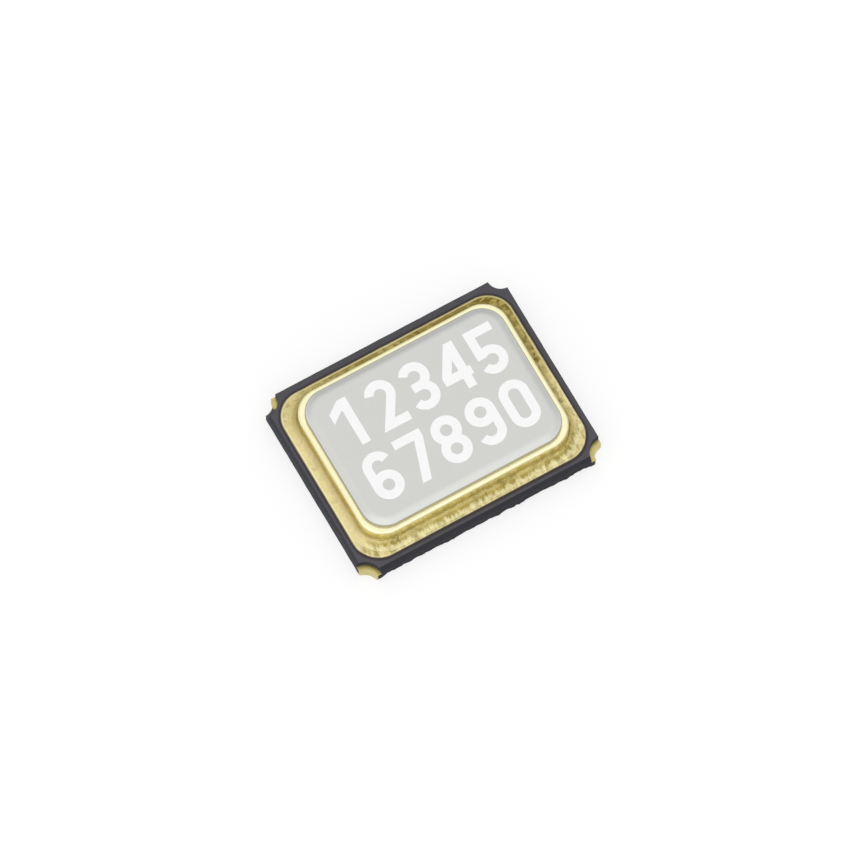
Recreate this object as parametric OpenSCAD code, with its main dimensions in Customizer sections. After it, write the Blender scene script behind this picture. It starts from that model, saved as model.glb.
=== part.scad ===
// Surface-mount crystal oscillator in a ceramic package of 3.2 x 2.5 mm with a seam-welded metal lid.
// Millimetres, +Z up. The origin is on the mounting plane, under the middle of the package.
// Terminal 1 is at the corner -X -Y; 2, 3 and 4 follow counter-clockwise, seen from above.

/* [Ceramic base] */
// Length of the ceramic base along X
package_l = 3.2; // [3:0.1:4]
// Width of the ceramic base along Y
package_w = 2.5; // [2.4:0.1:3.2]
// Thickness of the lower ceramic layer, the floor of the die well
base_layer_t = 0.115; // [0.08:0.005:0.2]
// Thickness of the middle ceramic layer, whose top is the ledge in each corner
middle_layer_t = 0.04; // [0.03:0.005:0.08]
// Thickness of the upper ceramic layer, which carries the seal ring and the quartz
top_layer_t = 0.11; // [0.1:0.005:0.2]
// Bevel that the snapped score lines leave along the outer edges
score_bevel = 0.03; // [0.005:0.005:0.03]

/* [Terminals] */
// Thickness of every printed and plated metal layer
metal_t = 0.015; // [0.01:0.001:0.02]
// Length of a solder pad along X
pad_l = 1; // [0.8:0.05:1.1]
// Width of a solder pad along Y
pad_w = 0.8; // [0.65:0.05:0.9]
// Distance of a solder pad from the edges of the base
pad_setback = 0.05; // [0.03:0.01:0.08]
// Chamfer that marks the pad of terminal 1
pin_one_chamfer = 0.22; // [0.1:0.01:0.3]
// Radius of the castellation in the lower two layers, inside its metal lining
castellation_r = 0.15; // [0.1:0.01:0.18]
// Width of the metal ledge between the castellation and the wider notch above it
ledge_w = 0.06; // [0.03:0.01:0.08]

/* [Seal] */
// Bare ceramic outside the seal metal at the two ends
seal_margin_x = 0.08; // [0.05:0.01:0.12]
// Bare ceramic outside the seal metal along the two sides
seal_margin_y = 0.1; // [0.05:0.01:0.12]
// Corner radius of the seal metal
seal_metal_r = 0.335; // [0.3:0.005:0.45]
// Width of the seal metal outside the seal ring
seal_land = 0.155; // [0.14:0.005:0.2]
// Thickness of the braze under the seal ring
braze_t = 0.01; // [0.005:0.001:0.02]
// Reach of the braze fillet out from the seal ring
fillet_w = 0.12; // [0.08:0.005:0.13]
// Height of the braze fillet up the seal ring
fillet_h = 0.11; // [0.05:0.005:0.12]
// Outer corner radius of the seal ring
ring_r = 0.32; // [0.28:0.01:0.4]
// Wall of the seal ring
ring_wall = 0.2; // [0.15:0.01:0.23]
// Height of the seal ring
ring_h = 0.245; // [0.18:0.005:0.3]
// Rounding of the seal ring's upper outer edge
ring_edge_r = 0.03; // [0.01:0.005:0.04]

/* [Lid] */
// Band of the seal ring left bare around the lid
lid_setback = 0.065; // [0.03:0.005:0.09]
// Corner radius of the lid
lid_r = 0.3; // [0.22:0.01:0.34]
// Thickness of the lid's raised middle
lid_t = 0.08; // [0.07:0.005:0.12]
// Thickness of the lid at its welded edge
lid_edge_t = 0.05; // [0.03:0.005:0.06]
// Width of the slope between the welded edge and the raised middle
lid_slope_w = 0.085; // [0.05:0.005:0.12]

/* [Marking] */
// Thickness of the white ink
ink_t = 0.005; // [0.002:0.001:0.01]
// Height of a digit
digit_h = 0.62; // [0.45:0.01:0.65]
// Width of the strokes
stroke_w = 0.11; // [0.06:0.01:0.12]
// Distance from one digit to the next
digit_pitch = 0.45; // [0.39:0.01:0.46]
// Distance from one row to the next
row_pitch = 0.755; // [0.7:0.005:0.8]
// Offset of the marking along X from the middle of the lid
marking_x = 0.04; // [-0.05:0.01:0.05]
// Offset of the marking along Y from the middle of the lid
marking_y = 0.02; // [-0.03:0.01:0.03]

/* [Die] */
// Length of the well that holds the die
well_l = 1.56; // [1.4:0.02:1.6]
// Width of the well that holds the die
well_w = 1.16; // [1.1:0.02:1.3]
// Offset of the well and the die along X, away from the quartz pads
well_x = 0.25; // [0.22:0.01:0.3]
// Corner radius of the well
well_r = 0.1; // [0.05:0.01:0.2]
// Length of the oscillator die
die_l = 1; // [0.9:0.05:1.15]
// Width of the oscillator die
die_w = 0.8; // [0.75:0.05:0.95]
// Thickness of the oscillator die
die_t = 0.085; // [0.05:0.005:0.1]
// Radius of a gold bump under the die
bump_r = 0.035; // [0.02:0.005:0.045]
// Height of a gold bump
bump_h = 0.02; // [0.01:0.005:0.025]
// Distance of the bumps from the edges of the die
bump_inset = 0.1; // [0.08:0.01:0.15]
// Width of the printed tracks under the die
track_w = 0.1; // [0.06:0.01:0.12]
// Radius of the metal-filled vias
via_r = 0.045; // [0.03:0.005:0.05]

/* [Quartz] */
// Length of the quartz blank
blank_l = 1.95; // [1.8:0.05:2.1]
// Width of the quartz blank
blank_w = 1.25; // [1.15:0.05:1.4]
// Thickness of the quartz blank, which sets its frequency
blank_t = 0.07; // [0.04:0.005:0.09]
// Bevel along the two long sides of the blank
blank_bevel = 0.02; // [0.005:0.005:0.03]
// Length of the electrodes along X
electrode_l = 1; // [0.8:0.05:1.1]
// Width of the electrodes along Y
electrode_w = 0.8; // [0.6:0.05:0.9]
// Thickness of the electrode films
electrode_t = 0.005; // [0.002:0.001:0.01]
// Width of the electrodes' tabs to the end of the blank
tab_w = 0.3; // [0.25:0.01:0.35]
// Length of a quartz pad along X
quartz_pad_l = 0.34; // [0.3:0.01:0.35]
// Width of a quartz pad along Y
quartz_pad_w = 0.4; // [0.35:0.01:0.45]
// Distance between the middles of the two quartz pads
quartz_pad_pitch = 0.8; // [0.7:0.01:0.85]
// Overhang of the blank's held end past the quartz pads
blank_overhang = 0.03; // [0:0.01:0.05]
// Radius of an adhesive dot
adhesive_r = 0.12; // [0.08:0.01:0.12]
// Thickness of the adhesive between pad and electrode
adhesive_t = 0.02; // [0.01:0.005:0.03]

/* [Hidden] */
$fn = 48;

// Digits of the two rows of the marking
first_row = [1, 2, 3, 4, 5];
second_row = [6, 7, 8, 9, 0];

// Oversize of a cutting shape where it leaves the solid that it cuts
cut = 0.1;

// Width over which the lid's sloped edge is drawn into its flat middle
lid_lap = 0.05;

// Heights, from the mounting plane up
base_z = metal_t;
floor_z = base_z + base_layer_t;
ledge_z = floor_z + middle_layer_t;
shelf_z = ledge_z + top_layer_t;
seal_z = shelf_z + metal_t;
ring_z = seal_z + braze_t;
lid_z = ring_z + ring_h;
ink_z = lid_z + lid_t;

// Corner notch above the ledge
notch_r = castellation_r + ledge_w;

// Outlines of the seal metal, the ring and the lid, each set in from the one below
seal_l = package_l - 2 * seal_margin_x;
seal_w = package_w - 2 * seal_margin_y;
ring_l = seal_l - 2 * seal_land;
ring_w = seal_w - 2 * seal_land;
opening_l = ring_l - 2 * ring_wall;
opening_w = ring_w - 2 * ring_wall;
opening_r = ring_r - ring_wall;
lid_l = ring_l - 2 * lid_setback;
lid_w = ring_w - 2 * lid_setback;

// Inner corner of the solder pads, and the vias that stand on them
pad_inner_x = package_l / 2 - pad_setback - pad_l;
pad_inner_y = package_w / 2 - pad_setback - pad_w;
via_inset_x = 0.25;
via_inset_y = 0.1;
terminal_via_x = pad_inner_x + via_inset_x;
seal_via_x = ring_l / 2 - ring_wall / 2;

// Bumps in two rows of three, under the long edges of the die
bump_x = die_l / 2 - bump_inset;
bump_y = die_w / 2 - bump_inset;
bump_z = floor_z + metal_t;
die_z = bump_z + bump_h;

// Each track to a terminal runs beside the track to the quartz, one track's width clear of it
terminal_via_y = max(pad_inner_y + via_inset_y, bump_y + 2 * track_w);

// Quartz blank, held at its -X end and free at the other
blank_end_x = -blank_l / 2;
quartz_pad_x = blank_end_x + blank_overhang + quartz_pad_l / 2;
quartz_pad_y = quartz_pad_pitch / 2;
adhesive_z = shelf_z + metal_t;
electrode_z = adhesive_z + adhesive_t;
blank_z = electrode_z + electrode_t;

// Digits stand on two circles of this radius, one above the other, measured to the strokes' middle
bowl_r = (digit_h - stroke_w) / 4;

// Rectangle with round corners, centred
module rounded_rectangle(l, w, r) {
    square([l - 2 * r, w], center = true);
    square([l, w - 2 * r], center = true);
    for (x = [-1, 1], y = [-1, 1])
        translate([x * (l / 2 - r), y * (w / 2 - r)]) circle(r = r);
}

// Sweeps a profile round the outline of a rounded rectangle: x points outwards from the outline, y up
module rim(l, w, r) {
    for (turn = [0, 1, 2, 3]) {
        long = turn % 2 == 0 ? l : w;
        wide = turn % 2 == 0 ? w : l;
        straight = wide - 2 * r;
        rotate([0, 0, 90 * turn]) {
            translate([long / 2, straight / 2, 0])
                rotate([90, 0, 0]) linear_extrude(height = straight) children();
            translate([long / 2 - r, straight / 2, 0])
                rotate_extrude(angle = 90) translate([r, 0]) children();
        }
    }
}

// Block of the ceramic base with the score bevels along its outer edges
module snapped_block(h) {
    intersection() {
        translate([0, package_w / 2, 0])
            rotate([90, 0, 0]) linear_extrude(height = package_w) bevelled_section(package_l, h);
        translate([-package_l / 2, 0, 0])
            rotate([90, 0, 90]) linear_extrude(height = package_l) bevelled_section(package_w, h);
    }
}

// Cross-section of the block, standing on the line y = 0
module bevelled_section(w, h) {
    polygon([
        [-w / 2 + score_bevel, 0], [w / 2 - score_bevel, 0],
        [w / 2, score_bevel], [w / 2, h - score_bevel],
        [w / 2 - score_bevel, h], [-w / 2 + score_bevel, h],
        [-w / 2, h - score_bevel], [-w / 2, score_bevel]
    ]);
}

// Puts a child at each of the four corners of the base
module at_corners() {
    for (x = [-1, 1], y = [-1, 1])
        translate([x * package_l / 2, y * package_w / 2, 0]) children();
}

// Metal-filled hole between two heights
module via(x, y, low, high) {
    translate([x, y, low]) cylinder(r = via_r, h = high - low);
}

// Track of even width with round ends, through a list of points
module track(points) {
    for (i = [1 : len(points) - 1]) {
        from = points[i - 1];
        to = points[i];
        run = to - from;
        translate([from.x, from.y, floor_z]) {
            cylinder(r = track_w / 2, h = metal_t);
            rotate([0, 0, atan2(run.y, run.x)])
                translate([0, -track_w / 2, 0]) cube([norm(run), track_w, metal_t]);
        }
        translate([to.x, to.y, floor_z]) cylinder(r = track_w / 2, h = metal_t);
    }
}

// Co-fired ceramic: three layers with corner notches, the die well and the paths of the buried metal
module ceramic_base() {
    lining_r = castellation_r + metal_t;
    color("#55535a") difference() {
        translate([0, 0, base_z]) snapped_block(shelf_z - base_z);
        at_corners() {
            translate([0, 0, base_z - cut]) cylinder(r = lining_r, h = shelf_z - base_z + 2 * cut);
            translate([0, 0, ledge_z]) cylinder(r = notch_r, h = top_layer_t + cut);
        }
        translate([well_x, 0, floor_z])
            linear_extrude(height = shelf_z - floor_z + cut) rounded_rectangle(well_l, well_w, well_r);
        die_tracks();
        terminal_vias();
        quartz_vias();
        seal_via();
    }
}

// Terminal at the corner with the signs x and y: solder pad, castellation lining and ledge
module terminal(x, y, chamfer) {
    corner_x = x * package_l / 2;
    corner_y = y * package_w / 2;
    color("#c9b56c") union() {
        difference() {
            translate([x * (pad_inner_x + pad_l / 2), y * (pad_inner_y + pad_w / 2), metal_t / 2])
                cube([pad_l, pad_w, metal_t], center = true);
            translate([corner_x, corner_y, -cut]) cylinder(r = castellation_r, h = metal_t + 2 * cut);
            if (chamfer > 0)
                translate([x * pad_inner_x, y * pad_inner_y, metal_t / 2])
                    rotate([0, 0, 45])
                        cube([chamfer * sqrt(2), chamfer * sqrt(2), metal_t + 2 * cut], center = true);
        }
        intersection() {
            translate([0, 0, base_z]) snapped_block(shelf_z - base_z);
            translate([corner_x, corner_y, base_z]) difference() {
                union() {
                    cylinder(r = castellation_r + metal_t, h = ledge_z - base_z);
                    translate([0, 0, ledge_z - base_z]) cylinder(r = notch_r, h = metal_t);
                }
                translate([0, 0, -cut]) cylinder(r = castellation_r, h = shelf_z - base_z + 2 * cut);
            }
        }
    }
}

module terminal_1() {
    terminal(-1, -1, pin_one_chamfer);
}

module terminal_2() {
    terminal(1, -1, 0);
}

module terminal_3() {
    terminal(1, 1, 0);
}

module terminal_4() {
    terminal(-1, 1, 0);
}

// Plated metal frame, printed on the ceramic, that the seal ring is brazed to
module seal_metal() {
    color("#d8c888") translate([0, 0, shelf_z]) linear_extrude(height = metal_t) difference() {
        rounded_rectangle(seal_l, seal_w, seal_metal_r);
        rounded_rectangle(opening_l, opening_w, opening_r);
    }
}

// Silver-copper braze: a thin layer under the ring and a hollow fillet round its foot
module braze() {
    hollow_r = (fillet_w * fillet_w + fillet_h * fillet_h) / (2 * fillet_h);
    color("#bfa95a") translate([0, 0, seal_z]) rim(ring_l, ring_w, ring_r) {
        translate([-ring_wall, 0]) square([ring_wall, braze_t]);
        difference() {
            square([fillet_w, fillet_h]);
            translate([fillet_w, hollow_r]) circle(r = hollow_r);
        }
    }
}

// Plated ring of iron-nickel-cobalt alloy with a rounded upper outer edge
module seal_ring() {
    color("#efe4b0") translate([0, 0, ring_z]) rim(ring_l, ring_w, ring_r) {
        translate([-ring_wall, 0]) square([ring_wall, ring_h - ring_edge_r]);
        translate([-ring_wall, 0]) square([ring_wall - ring_edge_r, ring_h]);
        translate([-ring_edge_r, ring_h - ring_edge_r]) circle(r = ring_edge_r);
    }
}

// Pressed lid, thinner at the edge where the seam welder's rollers ran
module lid() {
    lap = lid_slope_w + lid_lap;
    color("#d3d4d0") translate([0, 0, lid_z]) union() {
        linear_extrude(height = lid_t)
            rounded_rectangle(lid_l - 2 * lid_slope_w, lid_w - 2 * lid_slope_w, lid_r - lid_slope_w);
        rim(lid_l, lid_w, lid_r)
            polygon([[-lap, 0], [0, 0], [0, lid_edge_t], [-lid_slope_w, lid_t], [-lap, lid_t]]);
    }
}

// Straight stroke between two points, with flat ends
module bar(from_x, from_y, to_x, to_y) {
    run_x = to_x - from_x;
    run_y = to_y - from_y;
    translate([from_x, from_y, 0])
        rotate([0, 0, atan2(run_y, run_x)])
            translate([0, -stroke_w / 2, 0]) cube([norm([run_x, run_y]), stroke_w, ink_t]);
}

// Round stroke about the middle of the lower or upper circle, turning counter-clockwise
module bow(y, start, sweep) {
    translate([0, y, 0])
        rotate([0, 0, start])
            rotate_extrude(angle = sweep) translate([bowl_r - stroke_w / 2, 0]) square([stroke_w, ink_t]);
}

// Flat patch of ink with straight sides
module patch(points) {
    linear_extrude(height = ink_t) polygon(points);
}

// Where a side of the 2's leg, which touches a circle about the upper middle, reaches the height y
function leg_x(radius, lean, y) = radius * cos(lean) + (3 * bowl_r + radius * sin(lean) - y) * tan(lean);

// One digit, standing on the middle of its lower stroke
module digit(number) {
    r = bowl_r;
    top = 4 * r;
    edge = r + stroke_w / 2;
    half = stroke_w / 2;
    if (number == 0) {
        bow(3 * r, 0, 180);
        bow(r, 180, 180);
        bar(-r, r, -r, 3 * r);
        bar(r, r, r, 3 * r);
    }
    if (number == 1) {
        left = r / 4 - half;
        flag_top = top - r / 2;
        flag_rise = top + half - flag_top;
        flag_w = 1.2 * stroke_w;
        patch([[left, -half], [left + stroke_w, -half], [left + stroke_w, top + half], [left, top + half],
               [-edge, flag_top], [-edge, flag_top - flag_w], [left, flag_top - flag_w + flag_rise]]);
    }
    if (number == 2) {
        // The leg leaves the bowl along its tangent, and its tip reaches back into the stroke
        foot = -0.65 * r;
        lean = atan2(-3 * r, foot) + acos(r / norm([foot, 3 * r]));
        bow(3 * r, lean, 165 - lean);
        patch([[r, 3 * r], [(r + half) * cos(lean), 3 * r + (r + half) * sin(lean)],
               [leg_x(r + half, lean, half), half], [edge, half], [edge, -half],
               [leg_x(r - half, lean, -half), -half],
               [(r - half) * cos(lean), 3 * r + (r - half) * sin(lean)]]);
    }
    if (number == 3) {
        // Both bowls end inside the tongue, which is a hair wider than they are
        tongue_w = 1.01 * stroke_w;
        bow(3 * r, -94, 249);
        bow(r, -155, 249);
        translate([-0.7 * r, 2 * r - tongue_w / 2, 0]) cube([0.8 * r, tongue_w, ink_t]);
    }
    if (number == 4) {
        left = 0.7 * r - half;
        cross = 1.1 * r;
        slope = (left + edge) / (top - cross);
        slant_w = stroke_w * norm([1, slope]);
        linear_extrude(height = ink_t) difference() {
            polygon([[left, -half], [left + stroke_w, -half], [left + stroke_w, cross - half],
                     [edge, cross - half], [edge, cross + half], [left + stroke_w, cross + half],
                     [left + stroke_w, top + half], [left, top + half], [-edge, cross + half],
                     [-edge, cross - half], [left, cross - half]]);
            polygon([[slant_w - edge, cross + half], [left, cross + half],
                     [left, cross + half + (left + edge - slant_w) / slope]]);
        }
    }
    if (number == 5) {
        // The stem's lower corner lies just inside the bowl's stroke, at 45 degrees
        right = -0.72 * (r - half);
        bow(r, -155, 291);
        patch([[right - stroke_w, r - right], [right, r - right], [right, top - half], [edge, top - half],
               [edge, top + half], [right - stroke_w, top + half]]);
    }
    if (number == 6 || number == 9)
        translate([0, number == 9 ? top : 0, 0]) rotate([0, 0, number == 9 ? 180 : 0]) {
            bow(r, 0, 360);
            bar(-r, r, -r, 3 * r);
            bow(3 * r, 20, 160);
        }
    if (number == 7) {
        foot = -0.8 * r;
        leg_w = stroke_w * norm([1, (edge - foot - stroke_w) / top]);
        patch([[foot, -half], [foot + leg_w, -half], [edge, top - half], [edge, top + half],
               [-edge, top + half], [-edge, top - half], [edge - leg_w, top - half]]);
    }
    if (number == 8) {
        bow(r, 0, 360);
        bow(3 * r, 0, 360);
    }
}

// Row of digits, centred
module digit_row(numbers) {
    for (i = [0 : len(numbers) - 1])
        translate([(i - (len(numbers) - 1) / 2) * digit_pitch, -2 * bowl_r, 0]) digit(numbers[i]);
}

// White ink on the lid: two rows of plain numbers
module lid_marking() {
    color("white") translate([marking_x, marking_y, ink_z]) {
        translate([0, row_pitch / 2, 0]) digit_row(first_row);
        translate([0, -row_pitch / 2, 0]) digit_row(second_row);
    }
}

// Filled holes through the lower layer, one down to each terminal's pad
module terminal_vias() {
    color("#8d8672") for (x = [-1, 1], y = [-1, 1])
        via(x * terminal_via_x, y * terminal_via_y, base_z, floor_z);
}

// Filled holes through the two upper layers, from the tracks up to the quartz pads
module quartz_vias() {
    color("#8d8672") for (y = [-1, 1])
        via(quartz_pad_x, y * bump_y, bump_z, shelf_z);
}

// Filled hole through all three layers, which ties the ring and the lid to terminal 2
module seal_via() {
    color("#8d8672") via(seal_via_x, -terminal_via_y, base_z, shelf_z);
}

// Tracks printed on the lower layer: each leads from a bump to a via, and four end at terminals
module die_tracks() {
    color("#c9b56c") for (y = [-1, 1]) {
        near = y * bump_y;
        far = y * terminal_via_y;
        track([[well_x - bump_x, near], [quartz_pad_x, near]]);
        track([[well_x, near], [well_x, far], [-terminal_via_x, far]]);
        track([[well_x + bump_x, near], [terminal_via_x, near], [terminal_via_x, far]]);
    }
}

// Silicon die with the oscillator circuit, face down on its bumps
module oscillator_die() {
    color("#4b5568") translate([well_x - die_l / 2, -die_w / 2, die_z]) cube([die_l, die_w, die_t]);
}

// Gold bumps between the tracks and the die
module die_bumps() {
    color("#d9bd5e") for (x = [-1, 0, 1], y = [-1, 1])
        translate([well_x + x * bump_x, y * bump_y, bump_z]) cylinder(r = bump_r, h = bump_h);
}

// Pad on the shelf for one of the blank's two electrodes, on the side with the sign y
module quartz_pad(y) {
    color("#c9b56c") translate([quartz_pad_x, y * quartz_pad_y, shelf_z + metal_t / 2])
        cube([quartz_pad_l, quartz_pad_w, metal_t], center = true);
}

module quartz_pad_1() {
    quartz_pad(-1);
}

module quartz_pad_2() {
    quartz_pad(1);
}

// Dot of silver-filled adhesive that holds the blank and joins its electrode to the pad
module adhesive(y) {
    color("#b9b9b4") translate([quartz_pad_x, y * quartz_pad_y, adhesive_z])
        cylinder(r = adhesive_r, h = adhesive_t);
}

module adhesive_1() {
    adhesive(-1);
}

module adhesive_2() {
    adhesive(1);
}

// AT-cut quartz plate with its two long sides bevelled
module quartz_blank() {
    half = blank_w / 2;
    color("#e3eef0") translate([blank_end_x, 0, blank_z])
        rotate([90, 0, 90]) linear_extrude(height = blank_l) polygon([
            [-half + blank_bevel, 0], [half - blank_bevel, 0],
            [half, blank_bevel], [half, blank_t - blank_bevel],
            [half - blank_bevel, blank_t], [-half + blank_bevel, blank_t],
            [-half, blank_t - blank_bevel], [-half, blank_bevel]
        ]);
}

// Electrode film with its tab to the held end of the blank, on the side with the sign y
module electrode(y) {
    translate([-electrode_l / 2, -electrode_w / 2, 0]) cube([electrode_l, electrode_w, electrode_t]);
    translate([blank_end_x, y * quartz_pad_y - tab_w / 2, 0])
        cube([(blank_l - electrode_l) / 2 + tab_w, tab_w, electrode_t]);
}

// Upper electrode, which folds over the end of the blank down to the second adhesive dot
module electrode_upper() {
    land_l = blank_overhang + quartz_pad_l;
    fold_h = blank_t + 2 * electrode_t;
    color("#dfe2e4") {
        translate([0, 0, blank_z + blank_t]) electrode(1);
        translate([blank_end_x - electrode_t, quartz_pad_y - tab_w / 2, electrode_z])
            cube([electrode_t, tab_w, fold_h]);
        translate([blank_end_x, quartz_pad_y - tab_w / 2, electrode_z])
            cube([land_l, tab_w, electrode_t]);
    }
}

// Lower electrode, whose tab lies on the first adhesive dot
module electrode_lower() {
    color("#dfe2e4") translate([0, 0, electrode_z]) electrode(-1);
}

ceramic_base();
terminal_1();
terminal_2();
terminal_3();
terminal_4();
seal_metal();
braze();
seal_ring();
lid();
lid_marking();
terminal_vias();
quartz_vias();
seal_via();
die_tracks();
oscillator_die();
die_bumps();
quartz_pad_1();
quartz_pad_2();
adhesive_1();
adhesive_2();
quartz_blank();
electrode_upper();
electrode_lower();
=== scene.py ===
import math

import bmesh
import bpy
from mathutils import Matrix, Vector, noise


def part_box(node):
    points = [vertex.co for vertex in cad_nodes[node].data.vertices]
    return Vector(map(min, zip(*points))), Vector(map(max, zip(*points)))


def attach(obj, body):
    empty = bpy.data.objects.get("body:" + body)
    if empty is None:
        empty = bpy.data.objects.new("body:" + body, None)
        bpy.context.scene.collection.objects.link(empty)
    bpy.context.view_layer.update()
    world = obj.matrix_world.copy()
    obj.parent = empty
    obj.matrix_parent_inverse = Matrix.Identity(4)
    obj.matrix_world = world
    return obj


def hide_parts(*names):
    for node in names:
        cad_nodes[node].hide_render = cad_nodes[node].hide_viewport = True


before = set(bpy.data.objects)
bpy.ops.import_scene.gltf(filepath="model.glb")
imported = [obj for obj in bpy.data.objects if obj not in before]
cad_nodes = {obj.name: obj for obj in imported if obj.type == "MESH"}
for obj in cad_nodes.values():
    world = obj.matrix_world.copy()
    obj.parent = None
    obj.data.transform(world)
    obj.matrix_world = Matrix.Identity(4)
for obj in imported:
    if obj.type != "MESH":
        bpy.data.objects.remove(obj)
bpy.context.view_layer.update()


# ------------------------------------------------------------------------------------------------
# Ceramic base: three layers of black alumina tape, pressed, co-fired as one block and snapped out of
# its sheet along scored lines, which chips its sides. Each corner notch is a quarter of a punched
# hole and is wider in the top layer, and the die well is open to the inside.
# ------------------------------------------------------------------------------------------------

# Lengths are in millimetres, and a finished mesh is scaled to metres
MM = 0.001
NEAR = 1e-4
QUARTER = math.pi / 2
CASTELLATION_R = 0.15
LEDGE_W = 0.06
NOTCH_STEPS = 18
SMALL_NOTCH_LESS = 0.04
SCORE_BEVEL = 0.03
WELL = {"length": 1.56, "width": 1.16, "radius": 0.1, "x": 0.25, "z": 0.13}
SEAL_METAL_R = 0.335
BESIDE_PRINT_FADE = (0.012, 0.032)
SIDE_STEP = 0.03
SNAP_DEPTH = 0.016
SNAP_FADE = 0.06
# Chips per millimetre along the side and up it, their change from side to side, and their share
SNAP_WAVES = ((9, 14, 7.3, 0.6), (31, 40, 3.1, 0.4))
# Waves per millimetre of a printed outline that wanders, and their share
WANDER_WAVES = ((7, 1.0), (23, 0.6))


def box_mm(node_name):
    """Lowest and highest corners of a CAD node in millimetres."""
    low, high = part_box(node_name)
    return low / MM, high / MM


base_low, base_high = box_mm("ceramic_base")
metal_low, metal_high = box_mm("seal_metal")
METAL_T = metal_high.z - metal_low.z
LINING_R = CASTELLATION_R + METAL_T
NOTCH_R = CASTELLATION_R + LEDGE_W
LEDGE_Z = box_mm("terminal_1")[1].z - METAL_T
# Radii of the top layer's notches, counter-clockwise from the +X -Y corner; one is a little smaller
NOTCHES = (NOTCH_R, NOTCH_R - SMALL_NOTCH_LESS, NOTCH_R, NOTCH_R)


def add_grid(mesh, rows, closed=False):
    """Quads between rows of points, each row closed on itself if asked."""
    made = [[mesh.verts.new(point) for point in row] for row in rows]
    for near, far in zip(made, made[1:]):
        for i in range(len(near) - (0 if closed else 1)):
            j = (i + 1) % len(near)
            mesh.faces.new((near[i], near[j], far[j], far[i]))


def weld(mesh):
    """Joins points that lie on each other."""
    bmesh.ops.remove_doubles(mesh, verts=mesh.verts, dist=NEAR)
    bmesh.ops.dissolve_degenerate(mesh, edges=mesh.edges, dist=1e-5)


def fill_level(mesh, z):
    """Closes the openings whose rims lie at the height z."""
    rim = [e for e in mesh.edges if e.is_boundary and all(abs(v.co.z - z) < NEAR for v in e.verts)]
    bmesh.ops.triangle_fill(mesh, edges=rim, use_beauty=True)


def make_piece(name, mesh, material, sharp=35):
    """Object in metres from a closed bmesh in millimetres, smooth except across its sharp edges."""
    weld(mesh)
    bmesh.ops.recalc_face_normals(mesh, faces=mesh.faces)
    data = bpy.data.meshes.new(name)
    mesh.to_mesh(data)
    mesh.free()
    data.materials.clear()
    data.materials.append(material)
    data.shade_smooth()
    data.set_sharp_from_angle(angle=math.radians(sharp))
    draft = bpy.data.objects.new(name + "_draft", data)
    bpy.context.scene.collection.objects.link(draft)
    draft.modifiers.new("flat faces stay flat", "WEIGHTED_NORMAL").keep_sharp = True
    evaluated = draft.evaluated_get(bpy.context.evaluated_depsgraph_get())
    final = bpy.data.meshes.new_from_object(evaluated)
    final.name = name
    bpy.data.objects.remove(draft)
    final.transform(Matrix.Scale(MM, 4))
    piece = bpy.data.objects.new(name, final)
    bpy.context.scene.collection.objects.link(piece)
    return piece


def node(tree, kind, inputs=(), **settings):
    """New node in a tree; each input gets a link if it is given a socket, or else the value."""
    made = tree.nodes.new(kind)
    for key, value in settings.items():
        setattr(made, key, value)
    for key, value in dict(inputs).items():
        if isinstance(value, bpy.types.NodeSocket):
            tree.links.new(value, made.inputs[key])
        else:
            made.inputs[key].default_value = value
    return made


def math_node(tree, operation, *values):
    """Result of a calculation on values or sockets."""
    return node(tree, "ShaderNodeMath", enumerate(values), operation=operation).outputs[0]


def times(tree, first, *others):
    """Product of masks and shares."""
    product = first
    for other in others:
        product = math_node(tree, "MULTIPLY", product, other)
    return product


def blend_colour(tree, first, second, *masks):
    """Colour that goes from the first to the second with the product of the masks and shares."""
    factor = times(tree, *masks)
    mix = node(tree, "ShaderNodeMix", data_type="RGBA", clamp_factor=True)
    for index, value in ((0, factor), (6, first), (7, second)):
        if isinstance(value, bpy.types.NodeSocket):
            tree.links.new(value, mix.inputs[index])
        else:
            mix.inputs[index].default_value = (*value, 1)
    return mix.outputs[2]


def map_range(tree, value, start, end, low=0.0, high=1.0, kind="SMOOTHSTEP"):
    """Value that goes from low to high as another goes from the start to the end."""
    made = node(tree, "ShaderNodeMapRange", {0: value, 1: start, 2: end, 3: low, 4: high},
                interpolation_type=kind)
    return made.outputs[0]


def between(tree, mask, low, high):
    """Value that goes from low to high with a mask."""
    return map_range(tree, mask, 0.0, 1.0, low, high)


def split(tree, vector):
    """X, Y and Z of a vector."""
    return node(tree, "ShaderNodeSeparateXYZ", {0: vector}).outputs


def facing_axes(tree):
    """X, Y and Z of the direction in which the surface faces."""
    return split(tree, node(tree, "ShaderNodeNewGeometry").outputs["Normal"])


def new_group(name, inputs, outputs):
    """Shader node group with float and vector inputs; gives the tree and the sockets at its two ends."""
    tree = bpy.data.node_groups.new(name, "ShaderNodeTree")
    for label, default in inputs.items():
        kind = "NodeSocketVector" if default is None else "NodeSocketFloat"
        socket = tree.interface.new_socket(label, in_out="INPUT", socket_type=kind)
        if default is not None:
            socket.default_value = default
    for label in outputs:
        tree.interface.new_socket(label, in_out="OUTPUT", socket_type="NodeSocketFloat")
    return tree, node(tree, "NodeGroupInput").outputs, node(tree, "NodeGroupOutput").inputs


def place_group(tree, group, **inputs):
    """Outputs of a group placed in a tree."""
    named = {key.replace("_", " "): value for key, value in inputs.items()}
    return node(tree, "ShaderNodeGroup", node_tree=group, inputs=named).outputs


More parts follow.
